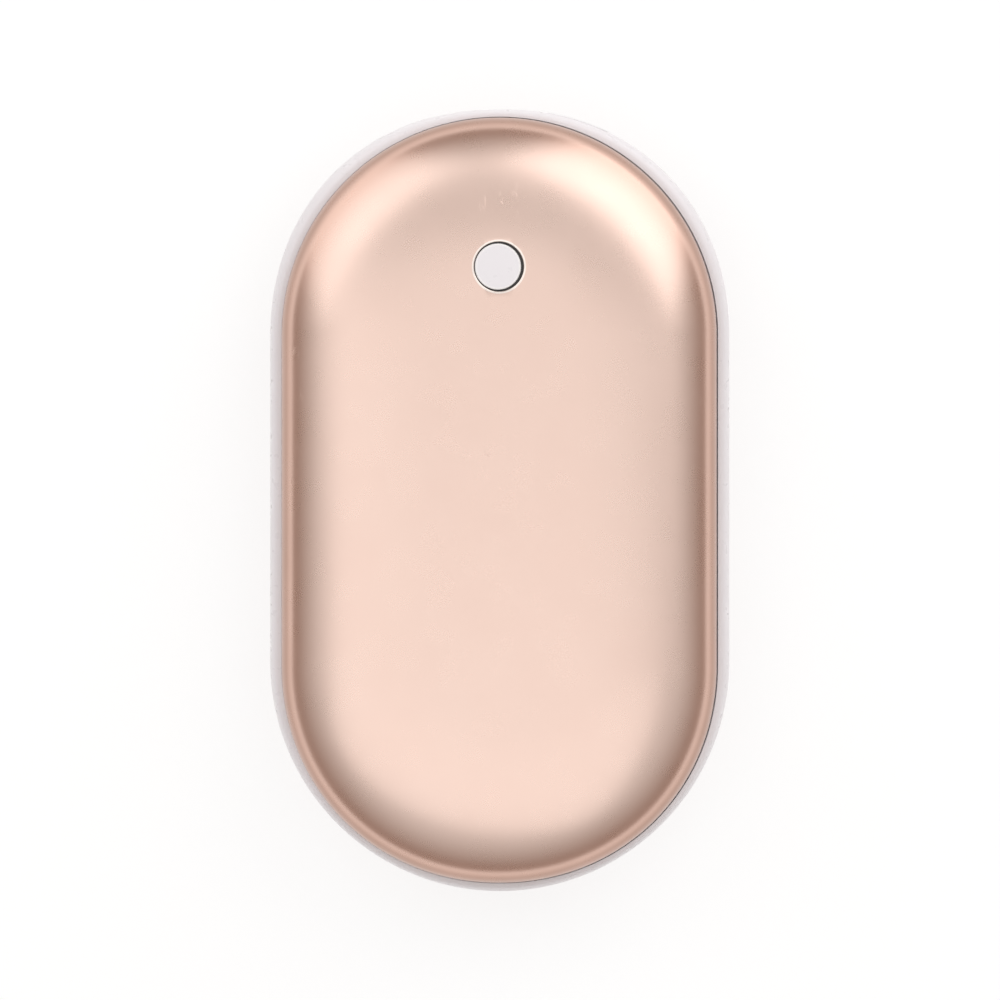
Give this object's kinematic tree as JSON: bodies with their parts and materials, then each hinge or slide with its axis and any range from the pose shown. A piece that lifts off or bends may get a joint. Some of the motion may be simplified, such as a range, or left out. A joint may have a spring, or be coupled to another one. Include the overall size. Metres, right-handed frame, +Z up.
{
  "type": "rechargeable hand warmer",
  "caption": "Pill shaped hand warmer: satin rose gold shells on a white frame, round push button near one end, sockets in that end.",
  "frame": {"origin": "on the surface that the rear shell rests on, under the middle of the outline", "axes": "+Z up through the front shell with the button, +Y towards the end with the sockets, +X to the right seen from above"},
  "size_m": [0.0586, 0.0999, 0.026],
  "materials": {
    "rose_aluminium": "satin anodised, rose gold",
    "white_plastic": "moulded, semi gloss white",
    "grey_plastic": "moulded, matte grey",
    "black_plastic": "moulded, matte black",
    "clear_plastic": "clear, slightly frosted",
    "plated_steel": "bright plated",
    "nickel": "plain nickel strip",
    "gold_contact": "thin gold plating",
    "board_green": "glass fibre board with green lacquer",
    "heater_film": "amber polyimide film",
    "pad_foam": "closed cell foam",
    "cell_wrap": "shrunk blue plastic sleeve on a steel can",
    "washer_paper": "pressed insulating paper",
    "ferrite": "dark ferrite",
    "capacitor_ceramic": "plain ceramic",
    "led_body": "clear epoxy over white",
    "red_wire": "insulated wire",
    "black_wire": "insulated wire",
    "white_wire": "insulated wire"
  },
  "bodies": {
    "housing": {"front_shell": "rose_aluminium", "rear_shell": "rose_aluminium", "mid_frame": "white_plastic", "front_liner": "grey_plastic", "rear_liner": "grey_plastic", "front_heater": "heater_film", "rear_heater": "heater_film", "front_pad": "pad_foam", "rear_pad": "pad_foam", "cell_left": "cell_wrap", "cell_right": "cell_wrap", "cell_washer_left": "washer_paper", "cell_washer_right": "washer_paper", "nickel_strip_port": "nickel", "nickel_strip_tail": "nickel", "cell_cradle": "grey_plastic", "cradle_screw_1": "plated_steel", "cradle_screw_2": "plated_steel", "cradle_screw_3": "plated_steel", "cradle_screw_4": "plated_steel", "circuit_board": "board_green", "board_screw_1": "plated_steel", "board_screw_2": "plated_steel", "charger_chip": "black_plastic", "controller_chip": "black_plastic", "capacitor_1": "capacitor_ceramic", "capacitor_2": "capacitor_ceramic", "boost_inductor": "ferrite", "switch_body": "black_plastic", "button_guide": "white_plastic", "usb_a_shell": "plated_steel", "usb_a_insulator": "black_plastic", "usb_a_contact_1": "gold_contact", "usb_a_contact_2": "gold_contact", "usb_a_contact_3": "gold_contact", "usb_a_contact_4": "gold_contact", "micro_usb_shell": "plated_steel", "micro_usb_insulator": "black_plastic", "light_guide": "clear_plastic", "indicator_led_1": "led_body", "indicator_led_2": "led_body", "indicator_led_3": "led_body", "indicator_led_4": "led_body", "temperature_sensor": "black_plastic", "sensor_lead": "black_wire", "battery_lead_plus": "red_wire", "battery_lead_minus": "black_wire", "front_heater_lead_1": "white_wire", "front_heater_lead_2": "white_wire", "rear_heater_lead_1": "white_wire", "rear_heater_lead_2": "white_wire"},
    "button": {"button_cap": "white_plastic"},
    "plunger": {"switch_plunger": "black_plastic"}
  },
  "joints": [
    {"name": "button_press", "type": "slide", "parent": "housing", "child": "button", "axis": [0, 0, -1], "range_m": [0, 0.0005], "stiffness_N_per_m": 1500},
    {"name": "plunger_travel", "type": "slide", "parent": "housing", "child": "plunger", "axis": [0, 0, -1], "range_m": [0, 0.0004]}
  ],
  "couplings": [
    {"joint": "plunger_travel", "follows": "button_press", "ratio": 0.5}
  ]
}
